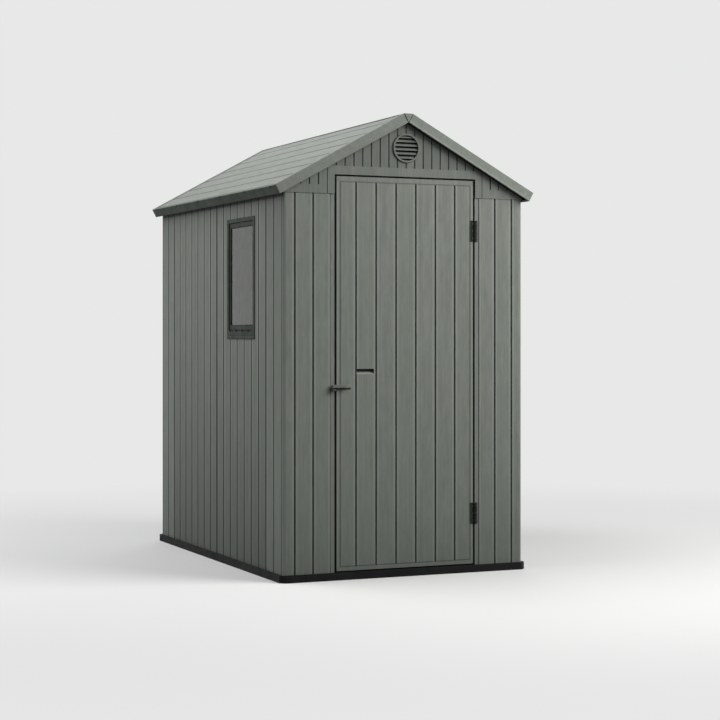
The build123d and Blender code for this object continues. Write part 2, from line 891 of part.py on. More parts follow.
with BuildPart() as jamb_eye:
    with BuildSketch(Plane.XY.offset(door_eye_foot - jamb_eye_gap - jamb_eye_height)) as eye_plan:
        with Locations((eye_end + jamb_face / 2, front_y + jamb_setback)):
            Rectangle(
                jamb_face,
                eye_projection + jamb_setback,
                align=(Align.CENTER, Align.MAX),
            )
        tips = eye_plan.vertices().group_by(Axis.Y)[0]
        fillet(tips, eye_round)
        with Locations((eye_x, eye_y)):
            Circle(eye_radius, mode=Mode.SUBTRACT)
    extrude(amount=jamb_eye_height)
write(jamb_eye.part, "jamb_eye")
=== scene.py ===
import json
import math
import bmesh
import bpy
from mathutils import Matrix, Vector


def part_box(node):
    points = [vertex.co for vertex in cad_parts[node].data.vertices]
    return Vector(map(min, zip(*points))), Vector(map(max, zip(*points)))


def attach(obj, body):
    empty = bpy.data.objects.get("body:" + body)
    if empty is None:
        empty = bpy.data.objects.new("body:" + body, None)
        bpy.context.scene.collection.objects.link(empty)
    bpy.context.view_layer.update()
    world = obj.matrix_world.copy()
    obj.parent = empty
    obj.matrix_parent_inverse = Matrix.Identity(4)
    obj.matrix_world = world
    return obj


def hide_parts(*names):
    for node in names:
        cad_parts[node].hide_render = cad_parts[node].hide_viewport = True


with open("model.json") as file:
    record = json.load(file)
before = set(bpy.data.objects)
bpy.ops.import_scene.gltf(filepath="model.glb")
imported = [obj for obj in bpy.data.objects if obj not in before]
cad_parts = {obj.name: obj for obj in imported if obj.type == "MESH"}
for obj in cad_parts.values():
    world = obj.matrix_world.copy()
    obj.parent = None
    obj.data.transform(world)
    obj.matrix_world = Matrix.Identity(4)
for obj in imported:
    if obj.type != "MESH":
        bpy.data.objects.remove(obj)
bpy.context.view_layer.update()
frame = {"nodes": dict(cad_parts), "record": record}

nodes = frame["nodes"]
print("frame loaded:", len(nodes), "nodes")

# sizes in metres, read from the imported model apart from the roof's pitch and the drop of its trim
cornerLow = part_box("corner_front_left")[0]
frontY = cornerLow.y
sideX = abs(cornerLow.x)
roofPitch = math.radians(28.8)
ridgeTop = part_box("ridge_cap")[1].z
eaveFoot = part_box("eave_trim_left")[0].z
trimDrop = 0.045
rakeFoot = ridgeTop + trimDrop * math.sin(roofPitch) * math.tan(roofPitch) - trimDrop / math.cos(roofPitch)

# camera
view = {
    "place": (-3.3828, -8.3061, 1.0946),
    "turn": -24.34,
    "lens": 91.48,
    "sensor": 36.0,
    "far": 200.0,
    "shift": (-0.0557, -0.0414),
}
cameraData = bpy.data.cameras.new("camera")
cameraData.lens = view["lens"]
cameraData.sensor_width = view["sensor"]
cameraData.shift_x, cameraData.shift_y = view["shift"]
cameraData.clip_end = view["far"]
camera = bpy.data.objects.new("camera", cameraData)
camera.location = view["place"]
camera.rotation_euler = (math.radians(90.0), 0.0, math.radians(view["turn"]))
bpy.context.scene.collection.objects.link(camera)
bpy.context.scene.camera = camera
bpy.context.scene.view_settings.view_transform = "Standard"
print("camera placed")


# node helpers
def addNode(tree, kind, at=(0, 0), **values):
    node = tree.nodes.new(kind)
    node.location = at
    for key, value in values.items():
        setattr(node, key, value)
    return node


def plug(tree, source, target):
    # a number or a tuple is set on the socket, anything else is linked
    if isinstance(source, (int, float, tuple)):
        target.default_value = source
    else:
        tree.links.new(source, target)


def mathNode(tree, operation, a, b=0.0, clamp=False):
    node = addNode(tree, "ShaderNodeMath", operation=operation, use_clamp=clamp)
    plug(tree, a, node.inputs[0])
    plug(tree, b, node.inputs[1])
    return node.outputs[0]


def multiply(tree, a, b):
    return mathNode(tree, "MULTIPLY", a, b)


def vectorNode(tree, operation, a, b=(0.0, 0.0, 0.0)):
    node = addNode(tree, "ShaderNodeVectorMath", operation=operation)
    plug(tree, a, node.inputs[0])
    plug(tree, b, node.inputs[1])
    return node.outputs["Value"] if operation in ("DOT_PRODUCT", "LENGTH") else node.outputs["Vector"]


def scaleVector(tree, vector, factor):
    node = addNode(tree, "ShaderNodeVectorMath", operation="SCALE")
    plug(tree, vector, node.inputs[0])
    plug(tree, factor, node.inputs["Scale"])
    return node.outputs["Vector"]


def split(tree, vector):
    node = addNode(tree, "ShaderNodeSeparateXYZ")
    plug(tree, vector, node.inputs[0])
    return node.outputs


def mixColour(tree, factor, a, b):
    node = addNode(tree, "ShaderNodeMix", data_type="RGBA")
    plug(tree, factor, node.inputs[0])
    plug(tree, a, node.inputs[6])
    plug(tree, b, node.inputs[7])
    return node.outputs[2]


def mixNumber(tree, factor, a, b):
    node = addNode(tree, "ShaderNodeMix", data_type="FLOAT")
    plug(tree, factor, node.inputs[0])
    plug(tree, a, node.inputs[2])
    plug(tree, b, node.inputs[3])
    return node.outputs[0]


def fade(tree, value, low, high, start=0.0, stop=1.0):
    node = addNode(tree, "ShaderNodeMapRange", interpolation_type="SMOOTHSTEP")
    plug(tree, value, node.inputs["Value"])
    plug(tree, low, node.inputs["From Min"])
    plug(tree, high, node.inputs["From Max"])
    plug(tree, start, node.inputs["To Min"])
    plug(tree, stop, node.inputs["To Max"])
    return node.outputs["Result"]


def noise(tree, vector, scale, detail=3.0, roughness=0.5, distortion=0.0):
    node = addNode(tree, "ShaderNodeTexNoise", noise_dimensions="3D")
    plug(tree, vector, node.inputs["Vector"])
    plug(tree, scale, node.inputs["Scale"])
    node.inputs["Detail"].default_value = detail
    node.inputs["Roughness"].default_value = roughness
    node.inputs["Distortion"].default_value = distortion
    return node.outputs["Fac"]


def newGroup(name, inputs, outputs):
    group = bpy.data.node_groups.new(name, "ShaderNodeTree")
    for label, kind, value in inputs:
        socket = group.interface.new_socket(label, in_out="INPUT", socket_type="NodeSocket" + kind)
        socket.default_value = value
    for label, kind in outputs:
        group.interface.new_socket(label, in_out="OUTPUT", socket_type="NodeSocket" + kind)
    start = addNode(group, "NodeGroupInput", (-900, 0))
    end = addNode(group, "NodeGroupOutput", (900, 0))
    return group, start.outputs, end.inputs


def useGroup(tree, group, **values):
    node = addNode(tree, "ShaderNodeGroup")
    node.node_tree = group
    for key, value in values.items():
        plug(tree, value, node.inputs[key])
    return node.outputs


# embossed wood grain: streaks drawn out along one direction
grainLook = {"bandScale": 0.16, "mottleScale": 42.0, "mottleDrawn": 0.72, "cloudScale": 5.0,
             "heightMix": (0.6, 0.4), "toneMix": (0.25, 0.35, 0.40)}


def makeGrainGroup():
    look = grainLook
    group, given, made = newGroup(
        "embossedGrain",
        [("Place", "Vector", (0, 0, 0)), ("Along", "Vector", (0, 0, 1)), ("Fine", "Float", 700.0),
         ("Drawn", "Float", 16.0)],
        [("Height", "Float"), ("Tone", "Float"), ("Cloud", "Float")],
    )
    along = vectorNode(group, "DOT_PRODUCT", given["Place"], given["Along"])
    pull = mathNode(group, "SUBTRACT", given["Drawn"], given["Fine"])
    drawn = scaleVector(group, given["Along"], multiply(group, along, pull))
    place = vectorNode(group, "ADD", scaleVector(group, given["Place"], given["Fine"]), drawn)
    lines = noise(group, place, 1.0, 3.0, 0.6, 0.4)
    bands = noise(group, place, look["bandScale"], 3.0, 0.55, 0.8)
    shorter = scaleVector(group, given["Along"], multiply(group, along, look["mottleDrawn"]))
    mottle = noise(group, vectorNode(group, "SUBTRACT", given["Place"], shorter), look["mottleScale"], 3.0, 0.6)
    clouds = noise(group, given["Place"], look["cloudScale"], 4.0, 0.6)
    high, tones = look["heightMix"], look["toneMix"]
    height = mathNode(group, "ADD", multiply(group, lines, high[0]), multiply(group, bands, high[1]))
    tone = mathNode(group, "ADD", multiply(group, lines, tones[0]), multiply(group, bands, tones[1]))
    tone = mathNode(group, "ADD", tone, multiply(group, mottle, tones[2]))
    plug(group, height, made["Height"])
    plug(group, tone, made["Tone"])
    plug(group, fade(group, clouds, 0.35, 0.65), made["Cloud"])
    return group


# one tone for each board, and a painted highlight that comes in over rimRise beside its groove
boardLook = {"handSeed": 40.0, "rimRise": 0.0015}


def makeBoardGroup():
    group, given, made = newGroup(
        "boardTone",
        [("Run", "Float", 0.0), ("Pitch", "Float", 0.0968), ("Start", "Float", 0.0), ("Seed", "Float", 0.0),
         ("Rim", "Float", 0.0060), ("Fall", "Float", 0.0130)],
        [("Tone", "Float"), ("Highlight", "Float"), ("Gap", "Float")],
    )
    away = mathNode(group, "SUBTRACT", mathNode(group, "ABSOLUTE", given["Run"]), given["Start"])
    steps = mathNode(group, "DIVIDE", away, given["Pitch"])
    hand = multiply(group, mathNode(group, "SIGN", given["Run"]), boardLook["handSeed"])
    board = mathNode(group, "ADD", mathNode(group, "FLOOR", steps), mathNode(group, "ADD", hand, given["Seed"]))
    pick = addNode(group, "ShaderNodeTexWhiteNoise", noise_dimensions="1D")
    plug(group, board, pick.inputs["W"])
    share = mathNode(group, "FRACT", mathNode(group, "ADD", steps, 0.5))
    offCentre = mathNode(group, "ABSOLUTE", mathNode(group, "SUBTRACT", share, 0.5))
    gap = multiply(group, offCentre, given["Pitch"])
    rise = fade(group, gap, mathNode(group, "SUBTRACT", given["Rim"], boardLook["rimRise"]), given["Rim"])
    edge = multiply(group, rise, fade(group, gap, given["Rim"], given["Fall"], 1.0, 0.0))
    plug(group, pick.outputs["Value"], made["Tone"])
    plug(group, edge, made["Highlight"])
    plug(group, gap, made["Gap"])
    return group


# painted shade in the grooves, by depth under the wall's outer faces or by distance from each groove's line, and a
# painted highlight on rounded corners
grooveLook = {"bandFrom": 0.0025, "cornerFrom": 0.0041}


def makeGrooveGroup():
    group, given, made = newGroup(
        "grooveShade",
        [("Place", "Vector", (0, 0, 0)), ("Half Width", "Float", sideX), ("Half Length", "Float", -frontY),
         ("Proud", "Float", 0.0), ("Start", "Float", 0.0009), ("Floor", "Float", 0.0020), ("Reach", "Float", 0.009),
         ("Gap", "Float", 1.0), ("Wide", "Float", 0.006), ("Round", "Float", 0.014)],
        [("Shade", "Float"), ("CornerHighlight", "Float")],
    )
    parts = split(group, given["Place"])
    sideDepth = mathNode(group, "SUBTRACT", given["Half Width"], mathNode(group, "ABSOLUTE", parts["X"]))
    endDepth = mathNode(group, "SUBTRACT", given["Half Length"], mathNode(group, "ABSOLUTE", parts["Y"]))
    depth = mathNode(group, "ADD", mathNode(group, "MINIMUM", sideDepth, endDepth), given["Proud"])
    inside = mathNode(group, "LESS_THAN", depth, given["Reach"])
    further = mathNode(group, "MAXIMUM", sideDepth, endDepth)
    flat = mathNode(group, "MAXIMUM", mathNode(group, "GREATER_THAN", further, given["Round"]),
                    mathNode(group, "LESS_THAN", given["Proud"], -1.0))
    band = fade(group, given["Gap"], grooveLook["bandFrom"], given["Wide"], 1.0, 0.0)
    shade = mathNode(group, "MAXIMUM", fade(group, depth, given["Start"], given["Floor"]), band)
    plug(group, multiply(group, multiply(group, shade, inside), flat), made["Shade"])
    plug(group, fade(group, further, grooveLook["cornerFrom"], given["Round"], 1.0, 0.0), made["CornerHighlight"])
    return group


# shade under the roof's edge: a black line at the trim and a wash down the wall
def makeRoofShadeGroup():
    group, given, made = newGroup(
        "roofShade",
        [("Place", "Vector", (0, 0, 0)), ("Top", "Float", 1.7), ("Slope", "Float", 0.0), ("Line", "Float", 0.005),
         ("Near", "Float", 0.022), ("Far", "Float", 0.20), ("Share", "Float", 0.5)],
        [("Line", "Float"), ("Wash", "Float")],
    )
    parts = split(group, given["Place"])
    fall = multiply(group, mathNode(group, "ABSOLUTE", parts["X"]), given["Slope"])
    down = mathNode(group, "SUBTRACT", mathNode(group, "SUBTRACT", given["Top"], parts["Z"]), fall)
    near = mathNode(group, "POWER", 0.5, mathNode(group, "DIVIDE", down, given["Near"]), clamp=True)
    far = mathNode(group, "POWER", 0.5, mathNode(group, "DIVIDE", down, given["Far"]), clamp=True)
    lineStart = multiply(group, given["Line"], 0.5)
    plug(group, fade(group, down, lineStart, given["Line"], 1.0, 0.0), made["Line"])
    plug(group, mixNumber(group, given["Share"], far, near), made["Wash"])
    return group


# painted shade that darkens the walls towards the ground
def makeFootGroup():
    group, given, made = newGroup(
        "footShade",
        [("Place", "Vector", (0, 0, 0)), ("Top", "Float", 1.7), ("Ragged", "Float", 0.10), ("Power", "Float", 3.0)],
        [("Shade", "Float")],
    )
    parts = split(group, given["Place"])
    cloud = mathNode(group, "SUBTRACT", noise(group, given["Place"], 6.0, 4.0, 0.6), 0.5)
    height = mathNode(group, "ADD", parts["Z"], multiply(group, cloud, given["Ragged"]))
    low = addNode(group, "ShaderNodeMapRange")
    plug(group, height, low.inputs["Value"])
    plug(group, given["Top"], low.inputs["From Max"])
    low.inputs["To Min"].default_value = 1.0
    low.inputs["To Max"].default_value = 0.0
    plug(group, mathNode(group, "POWER", low.outputs["Result"], given["Power"]), made["Shade"])
    return group


# painted shade in the finger pull's slot and a painted highlight on its lip, a painted shadow under the padlock eye,
# and painted shade round the door's edge
doorMarks = {
    "pullLeft": -0.2380,
    "pullRight": -0.1550,
    "pullTop": 0.924,
    "slot": 0.0115,
    "mouth": 0.022,
    "lipHighlightMix": 0.85,
    "eyeLeft": -0.3345,
    "eyeRight": -0.2700,
    "eyeFoot": 0.843,
    "eyeShade": 0.009,
    "eyeMix": 0.9,
    "headRail": 0.024,
    "footRail": 0.018,
    "seam": 0.0010,
    "hingeSeam": 0.0026,
    "seamShade": 0.8,
    "soft": 0.0005,
    "seamSoft": 0.0006,
    "eyeSoft": (0.006, 0.002),
    "railSoft": 0.001,
    "slotAbove": 0.010,
    "lipPast": (0.001, 0.002),
    "outerHalf": (0.0220, 0.0240),
    "outerFace": (0.004, 0.006),
    "slotDepth": (0.0006, 0.0020),
}


def makeDoorMarkGroup():
    look = doorMarks
    group, given, made = newGroup(
        "doorMarks", [("Place", "Vector", (0, 0, 0))],
        [("Dark", "Float"), ("Clear", "Float"), ("LipHighlight", "Float"), ("Boards", "Float")])
    parts = split(group, given["Place"])

    def within(axis, low, high, soft):
        value = parts[axis]
        rise = fade(group, value, low - soft, low)
        return multiply(group, rise, fade(group, value, high, high + soft, 1.0, 0.0))

    def depth(span, start, stop):
        return fade(group, parts["Y"], frontY + span[0], frontY + span[1], start, stop)

    outer = depth(look["outerHalf"], 1.0, 0.0)
    across = multiply(group, within("X", look["pullLeft"], look["pullRight"], look["soft"]), outer)
    slotFoot = look["pullTop"] - look["slot"]
    slot = multiply(group, across, within("Z", slotFoot, look["pullTop"] + look["slotAbove"], look["railSoft"]))
    slot = multiply(group, slot, depth(look["slotDepth"], 0.0, 1.0))
    wider = within("X", look["pullLeft"] - look["lipPast"][0], look["pullRight"] + look["lipPast"][1], look["soft"])
    wider = multiply(group, wider, outer)
    mouthFoot = look["pullTop"] - look["mouth"] - look["lipPast"][0]
    lip = multiply(group, wider, within("Z", mouthFoot, slotFoot, look["soft"]))
    face = depth(look["outerFace"], 1.0, 0.0)
    under = within("Z", look["eyeFoot"] - look["eyeShade"], look["eyeFoot"], look["eyeSoft"][1])
    under = multiply(group, within("X", look["eyeLeft"], look["eyeRight"], look["eyeSoft"][0]), under)
    under = multiply(group, multiply(group, under, face), look["eyeMix"])
    dark = mathNode(group, "MAXIMUM", slot, under)
    doorLow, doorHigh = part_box("door_leaf")
    inside = within("X", doorLow.x + look["seam"], doorHigh.x - look["hingeSeam"], look["seamSoft"])
    inside = multiply(group, inside, within("Z", 0.0, doorHigh.z - look["seam"], look["seamSoft"]))
    kept = multiply(group, inside, look["seamShade"])
    seam = multiply(group, mathNode(group, "SUBTRACT", look["seamShade"], kept), face)
    plug(group, mathNode(group, "MAXIMUM", dark, seam), made["Dark"])
    plug(group, mathNode(group, "SUBTRACT", 1.0, lip), made["Clear"])
    plug(group, multiply(group, lip, look["lipHighlightMix"]), made["LipHighlight"])
    boards = within("Z", doorLow.z + look["footRail"], doorHigh.z - look["headRail"], look["railSoft"])
    plug(group, boards, made["Boards"])
    return group


grainGroup = makeGrainGroup()
doorMarkGroup = makeDoorMarkGroup()
boardGroup = makeBoardGroup()
grooveGroup = makeGrooveGroup()
roofShadeGroup = makeRoofShadeGroup()
footGroup = makeFootGroup()
print("node groups made")


def newMaterial(name):
    material = bpy.data.materials.new(name)
    material.use_nodes = True
    tree = material.node_tree
    tree.nodes.clear()
    output = addNode(tree, "ShaderNodeOutputMaterial", (900, 0))
    shader = addNode(tree, "ShaderNodeBsdfPrincipled", (600, 0))
    tree.links.new(shader.outputs[0], output.inputs["Surface"])
    place = addNode(tree, "ShaderNodeTexCoord", (-1200, 0)).outputs["Object"]
    return material, tree, shader, place


def bump(tree, shader, height, strength, distance):
    node = addNode(tree, "ShaderNodeBump", (350, -300))
    node.inputs["Strength"].default_value = strength
    node.inputs["Distance"].default_value = distance
    tree.links.new(height, node.inputs["Height"])
    tree.links.new(node.outputs["Normal"], shader.inputs["Normal"])


def boardRun(tree, place, look):
    # how far a point is along its wall from the middle, the board pitch and start there, and 1 where shade falls
    parts = split(tree, place)
    if look["face"] == "front":
        return parts["X"], look["pitch"], look["start"], 1.0
    if look["face"] == "side":
        return parts["Y"], look["pitch"], look["start"], 1.0
    if look["face"] == "roof":
        return mathNode(tree, "DIVIDE", parts["X"], math.cos(roofPitch)), look["pitch"], look["start"], 1.0
    fromSide = mathNode(tree, "SUBTRACT", sideX, mathNode(tree, "ABSOLUTE", parts["X"]))
    fromEnd = mathNode(tree, "SUBTRACT", -frontY, mathNode(tree, "ABSOLUTE", parts["Y"]))
    onSide = mathNode(tree, "LESS_THAN", fromSide, fromEnd)
    run = mixNumber(tree, onSide, parts["X"], parts["Y"])
    pitch = mixNumber(tree, onSide, look["pitch"], look["sidePitch"])
    return run, pitch, mixNumber(tree, onSide, look["start"], 0.0), onSide


def grainedResin(name, look):
    # moulded resin with embossed grain, a tone for each board, and painted shade and highlights at its grooves,
    # corners and gaps
    material, tree, shader, place = newMaterial(name)
    grain = useGroup(tree, grainGroup, Place=place, Along=look["along"], Fine=look["fine"], Drawn=look["drawn"])
    run, pitch, start, shaded = boardRun(tree, place, look)
    board = useGroup(tree, boardGroup, Run=run, Pitch=pitch, Start=start, Seed=look["seed"],
                     Rim=look["rim"], Fall=look["fall"])
    colour = mixColour(tree, fade(tree, grain["Tone"], *look["contrast"]), look["low"], look["high"])
    colour = mixColour(tree, multiply(tree, grain["Cloud"], look["tintMix"]), colour, look["tint"])
    colour = mixColour(tree, multiply(tree, board["Tone"], look["boardMix"]), colour, look["boardColour"])
    # painted highlight beside each groove
    edge = multiply(tree, board["Highlight"], look["highlightMix"])
    if look["marks"]:
        marks = useGroup(tree, doorMarkGroup, Place=place)
        edge = multiply(tree, edge, marks["Boards"])
    colour = mixColour(tree, edge, colour, look["highlightColour"])
    # painted shade on the wall's side faces, fading towards the rear
    if look["sideMix"]:
        front, rear = look["sideFade"]
        turned = fade(tree, split(tree, place)["Y"], front, rear, look["sideMix"], 0.0)
        colour = mixColour(tree, multiply(tree, shaded, turned), colour, look["footColour"])
    # painted shade towards the ground
    foot = useGroup(tree, footGroup, Place=place, Power=look["footPower"])
    colour = mixColour(tree, multiply(tree, foot["Shade"], look["footMix"]), colour, look["footColour"])
    lines = [board["Gap"]]
    if look["joint"]:
        joint = useGroup(tree, boardGroup, Run=run, Pitch=look["joint"])
        lines.append(multiply(tree, joint["Gap"], look["jointShare"]))
    gap = lines[0] if len(lines) == 1 else mathNode(tree, "MINIMUM", lines[0], lines[1])
    banded = mixNumber(tree, shaded, 1.0, gap) if look["banded"] else 1.0
    groove = useGroup(tree, grooveGroup, Place=place, Proud=look["proud"], Start=look["grooveStart"],
                      Floor=look["grooveFloor"], Reach=look["grooveReach"], Gap=banded, Wide=look["wide"])
    # painted highlight on the rounded corner
    corner = multiply(tree, groove["CornerHighlight"], look["cornerHighlightMix"])
    colour = mixColour(tree, corner, colour, look["highlightColour"])
    if look["under"]:
        top, slope, amount = look["under"]
        roof = useGroup(tree, roofShadeGroup, Place=place, Top=top, Slope=slope, **look["washShape"])
        wash = multiply(tree, multiply(tree, roof["Wash"], amount), shaded)
        colour = mixColour(tree, wash, colour, look["shadeColour"])
        colour = mixColour(tree, multiply(tree, roof["Line"], shaded), colour, look["shadeColour"])
    # painted shade in the grooves and gaps
    shade = multiply(tree, groove["Shade"], look["grooveMix"])
    # painted shade and highlight at the door's pull, padlock eye and edge
    if look["marks"]:
        shade = mathNode(tree, "MAXIMUM", multiply(tree, shade, marks["Clear"]), marks["Dark"])
        colour = mixColour(tree, marks["LipHighlight"], colour, look["highlightColour"])
    colour = mixColour(tree, shade, colour, look["shadeColour"])
    plug(tree, colour, shader.inputs["Base Color"])
    dull, shiny = look["rough"] + look["roughSpread"], look["rough"] - look["roughSpread"]
    plug(tree, fade(tree, grain["Tone"], 0.25, 0.75, dull, shiny), shader.inputs["Roughness"])
    shader.inputs["Specular IOR Level"].default_value = look["specular"]
    bump(tree, shader, grain["Height"], look["relief"], look["reliefDepth"])
    return material


bandsOnly = -9.0  # as proud: the grooves are drawn by position and not by depth
greyGreen = {
    "low": (0.134, 0.150, 0.131, 1),
    "high": (0.192, 0.208, 0.188, 1),
    "boardColour": (0.156, 0.182, 0.154, 1),
    "boardMix": 0.4,
    "tint": (0.176, 0.182, 0.166, 1),
    "tintMix": 0.25,
    "highlightColour": (0.270, 0.290, 0.265, 1),
    "highlightMix": 0.55,
    "rim": 0.0070,
    "fall": 0.0170,
    "footColour": (0.080, 0.092, 0.078, 1),
    "footMix": 0.60,
    "footPower": 4.5,
    "shadeColour": (0.006, 0.007, 0.006, 1),
    "grooveMix": 0.97,
    "grooveStart": 0.0009,
    "grooveFloor": 0.0020,
    "grooveReach": 0.009,
    "banded": False,
    "wide": 0.0060,
    "cornerHighlightMix": 0.0,
    "sideMix": 0.0,
    "sideFade": (-0.6, 0.6),
    "contrast": (0.34, 0.66),
    "joint": 0.0,
    "jointShare": 0.46,
    "under": None,
    "washShape": {"Line": 0.005, "Near": 0.022, "Far": 0.20, "Share": 0.5},
    "rough": 0.62,
    "roughSpread": 0.06,
    "specular": 0.35,
    "relief": 0.35,
    "reliefDepth": 0.0006,
    "fine": 620.0,
    "drawn": 15.0,
    "along": (0, 0, 1),
    "face": "front",
    "pitch": 0.0968,
    "sidePitch": 0.0968,
    "start": 0.0,
    "seed": 0.0,
    "proud": 0.0,
    "marks": False,
}
# the side walls get a darker copy of the resin: painted shade, with more painted shade under the eaves
shadedSide = {
    "low": (0.122, 0.137, 0.119, 1),
    "high": (0.180, 0.194, 0.174, 1),
    "footColour": (0.055, 0.064, 0.053, 1),
    "footMix": 0.9,
    "footPower": 1.6,
    "banded": True,
    "wide": 0.0078,
    "rim": 0.0080,
    "fall": 0.0260,
    "highlightMix": 0.75,
    "joint": 0.6776,
    "under": (eaveFoot, 0.0, 0.66),
    "washShape": {"Line": 0.012, "Near": 0.036, "Far": 0.24, "Share": 0.6},
}
sideWall = grainedResin("sideResin", {**greyGreen, **shadedSide, "face": "side", "seed": 3.0})
rearWall = grainedResin("rearResin", {**greyGreen, "start": 0.0484, "seed": 7.0})
# the corners get a painted highlight on their rounding, and painted shade on their side faces and under the eaves
cornerResin = grainedResin("cornerResin", {
    **greyGreen, "face": "corner", "pitch": 0.0852, "start": 0.0185, "cornerHighlightMix": 0.5, "sideMix": 0.2,
    "banded": True, "wide": 0.0078, "under": (eaveFoot, 0.0, 0.75),
    "washShape": {"Line": 0.012, "Near": 0.022, "Far": 0.20, "Share": 0.5}})
# the jambs turn dark by depth inside the door's gaps: painted shade
setBack = {**greyGreen, "highlightMix": 0.0, "proud": -0.002, "grooveReach": 0.08}
jambResin = grainedResin("jambResin", {**setBack, "grooveStart": 0.0003, "grooveFloor": 0.0012})
hingeJambResin = grainedResin("hingeJambResin", {**setBack, "grooveStart": 0.0012, "grooveFloor": 0.0034})
# the gables get a darker copy of the resin: painted shade under the roof's overhang, with a painted shadow line under
# the rake
gableResin = grainedResin("gableResin", {
    **greyGreen, "low": (0.112, 0.125, 0.110, 1), "high": (0.164, 0.177, 0.160, 1),
    "boardColour": (0.130, 0.151, 0.128, 1), "tint": (0.150, 0.155, 0.142, 1),
    "highlightColour": (0.190, 0.204, 0.186, 1), "highlightMix": 0.0, "pitch": 0.042, "proud": 0.003,
    "under": (rakeFoot, math.tan(roofPitch), 0.0),
    "washShape": {"Line": 0.003, "Near": 0.008, "Far": 0.08, "Share": 0.7}})
# the vent ring turns near black in its bore: painted shade
ringResin = grainedResin("ringResin", {
    **greyGreen, "low": (0.110, 0.121, 0.108, 1), "high": (0.140, 0.153, 0.138, 1),
    "highlightMix": 0.0, "tintMix": 0.0, "proud": 0.009, "grooveStart": 0.002, "grooveFloor": 0.005, "grooveReach": 0.08})
doorResin = grainedResin("doorResin", {
    **greyGreen, "start": 0.0483, "pitch": 0.0966, "seed": 11.0, "grooveStart": 0.0008, "grooveFloor": 0.0018,
    "marks": True})
# the padlock eyes get darker copies of the resin: painted shade, near black on the jamb eye, which lies in the door
# eye's shadow
shadedEye = {**greyGreen, "low": (0.105, 0.118, 0.103, 1), "high": (0.150, 0.163, 0.147, 1), "boardMix": 0.0,
             "tintMix": 0.0, "highlightMix": 0.0}
eyeResin = grainedResin("eyeResin", shadedEye)
jambEyeShadowResin = grainedResin("jambEyeShadowResin", {
    **shadedEye, "low": (0.034, 0.038, 0.033, 1), "high": (0.050, 0.055, 0.049, 1)})
# the roof's grooves are drawn by position as soft painted shade
roofResin = grainedResin("roofResin", {
    **greyGreen, "low": (0.138, 0.155, 0.136, 1), "high": (0.196, 0.213, 0.192, 1), "along": (0, 1, 0),
    "highlightMix": 0.0, "tintMix": 0.15, "footMix": 0.0, "wide": 0.0080, "shadeColour": (0.03, 0.033, 0.03, 1),
    "face": "roof", "pitch": 0.1, "start": -0.003, "proud": bandsOnly, "banded": True})
rakeResin = grainedResin("rakeResin", {
    **greyGreen, "low": (0.144, 0.161, 0.141, 1), "high": (0.204, 0.221, 0.200, 1), "along": (0, 1, 0),
    "highlightMix": 0.0, "footMix": 0.0, "proud": bandsOnly})
print("resin materials made")


deepShade = (0.004, 0.004, 0.004, 1)
smoothLook = {"cloudScale": 14.0, "skinScale": 900.0, "roughSpread": 0.05, "reliefDepth": 0.0003}


def smoothResin(name, look):
    # plain moulded parts: a fine pebbled skin, a little cloudiness, and painted shade, near black, in the depth given
    # by deep
    look = {**smoothLook, **look}
    material, tree, shader, place = newMaterial(name)
    clouds = noise(tree, place, look["cloudScale"], 4.0, 0.6)
    skin = noise(tree, place, look["skinScale"], 2.0, 0.5)
    colour = mixColour(tree, fade(tree, clouds, 0.3, 0.7), look["low"], look["high"])
    if "deep" in look:
        parts = split(tree, place)
        axis, start, full, foot, top = look["deep"]
        shade = fade(tree, parts[axis], start, full)
        shade = multiply(tree, shade, mathNode(tree, "GREATER_THAN", parts["Z"], foot))
        shade = multiply(tree, shade, mathNode(tree, "LESS_THAN", parts["Z"], top))
        colour = mixColour(tree, shade, colour, deepShade)
    plug(tree, colour, shader.inputs["Base Color"])
    dull, shiny = look["rough"] + look["roughSpread"], look["rough"] - look["roughSpread"]
    plug(tree, fade(tree, clouds, 0.3, 0.7, dull, shiny), shader.inputs["Roughness"])
    shader.inputs["Specular IOR Level"].default_value = look["specular"]
    bump(tree, shader, skin, look["relief"], look["reliefDepth"])
    return material


darkGreen = {"low": (0.0130, 0.0190, 0.0130, 1), "high": (0.0190, 0.0255, 0.0190, 1), "rough": 0.62,
             "specular": 0.20, "relief": 0.25}
darkResin = smoothResin("darkResin", darkGreen)
eaveResin = smoothResin("eaveResin", {
    **darkGreen, "low": (0.0185, 0.0260, 0.0185, 1), "high": (0.0270, 0.0350, 0.0270, 1)})
# the window frame is painted near black with shade inside its drain slots, below the sash
drainLook = {"below": 0.001, "start": 0.0008, "full": 0.0018, "foot": 0.0075, "top": 0.0003}
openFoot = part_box("window_sash")[0].z - drainLook["below"]
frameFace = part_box("window_frame")[0].x
frameResin = smoothResin("frameResin", {
    **darkGreen, "deep": ("X", frameFace + drainLook["start"], frameFace + drainLook["full"],
                          openFoot - drainLook["foot"], openFoot - drainLook["top"])})
blackResin = smoothResin("blackResin", {
    "low": (0.0035, 0.0035, 0.004, 1), "high": (0.006, 0.006, 0.0065, 1), "rough": 0.7, "specular": 0.15,
    "relief": 0.25})
beamPaint = smoothResin("beamPaint", {
    "low": (0.090, 0.100, 0.092, 1), "high": (0.110, 0.120, 0.112, 1), "rough": 0.45, "specular": 0.5, "relief": 0.1})
rubber = smoothResin("rubber", {
    "low": (0.007, 0.007, 0.007, 1), "high": (0.012, 0.012, 0.012, 1), "rough": 0.75, "specular": 0.25,
    "relief": 0.15})
# painted shade: the slats turn near black over this span behind the ring's face
ventDepth = (0.0090, 0.0125)
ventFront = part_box("gable_vent")[0].y
ventResin = smoothResin("ventResin", {
    "low": (0.105, 0.116, 0.103, 1), "high": (0.135, 0.148, 0.132, 1), "rough": 0.6, "specular": 0.35, "relief": 0.2,
    "deep": ("Y", ventFront + ventDepth[0], ventFront + ventDepth[1], 0.0, 9.0)})


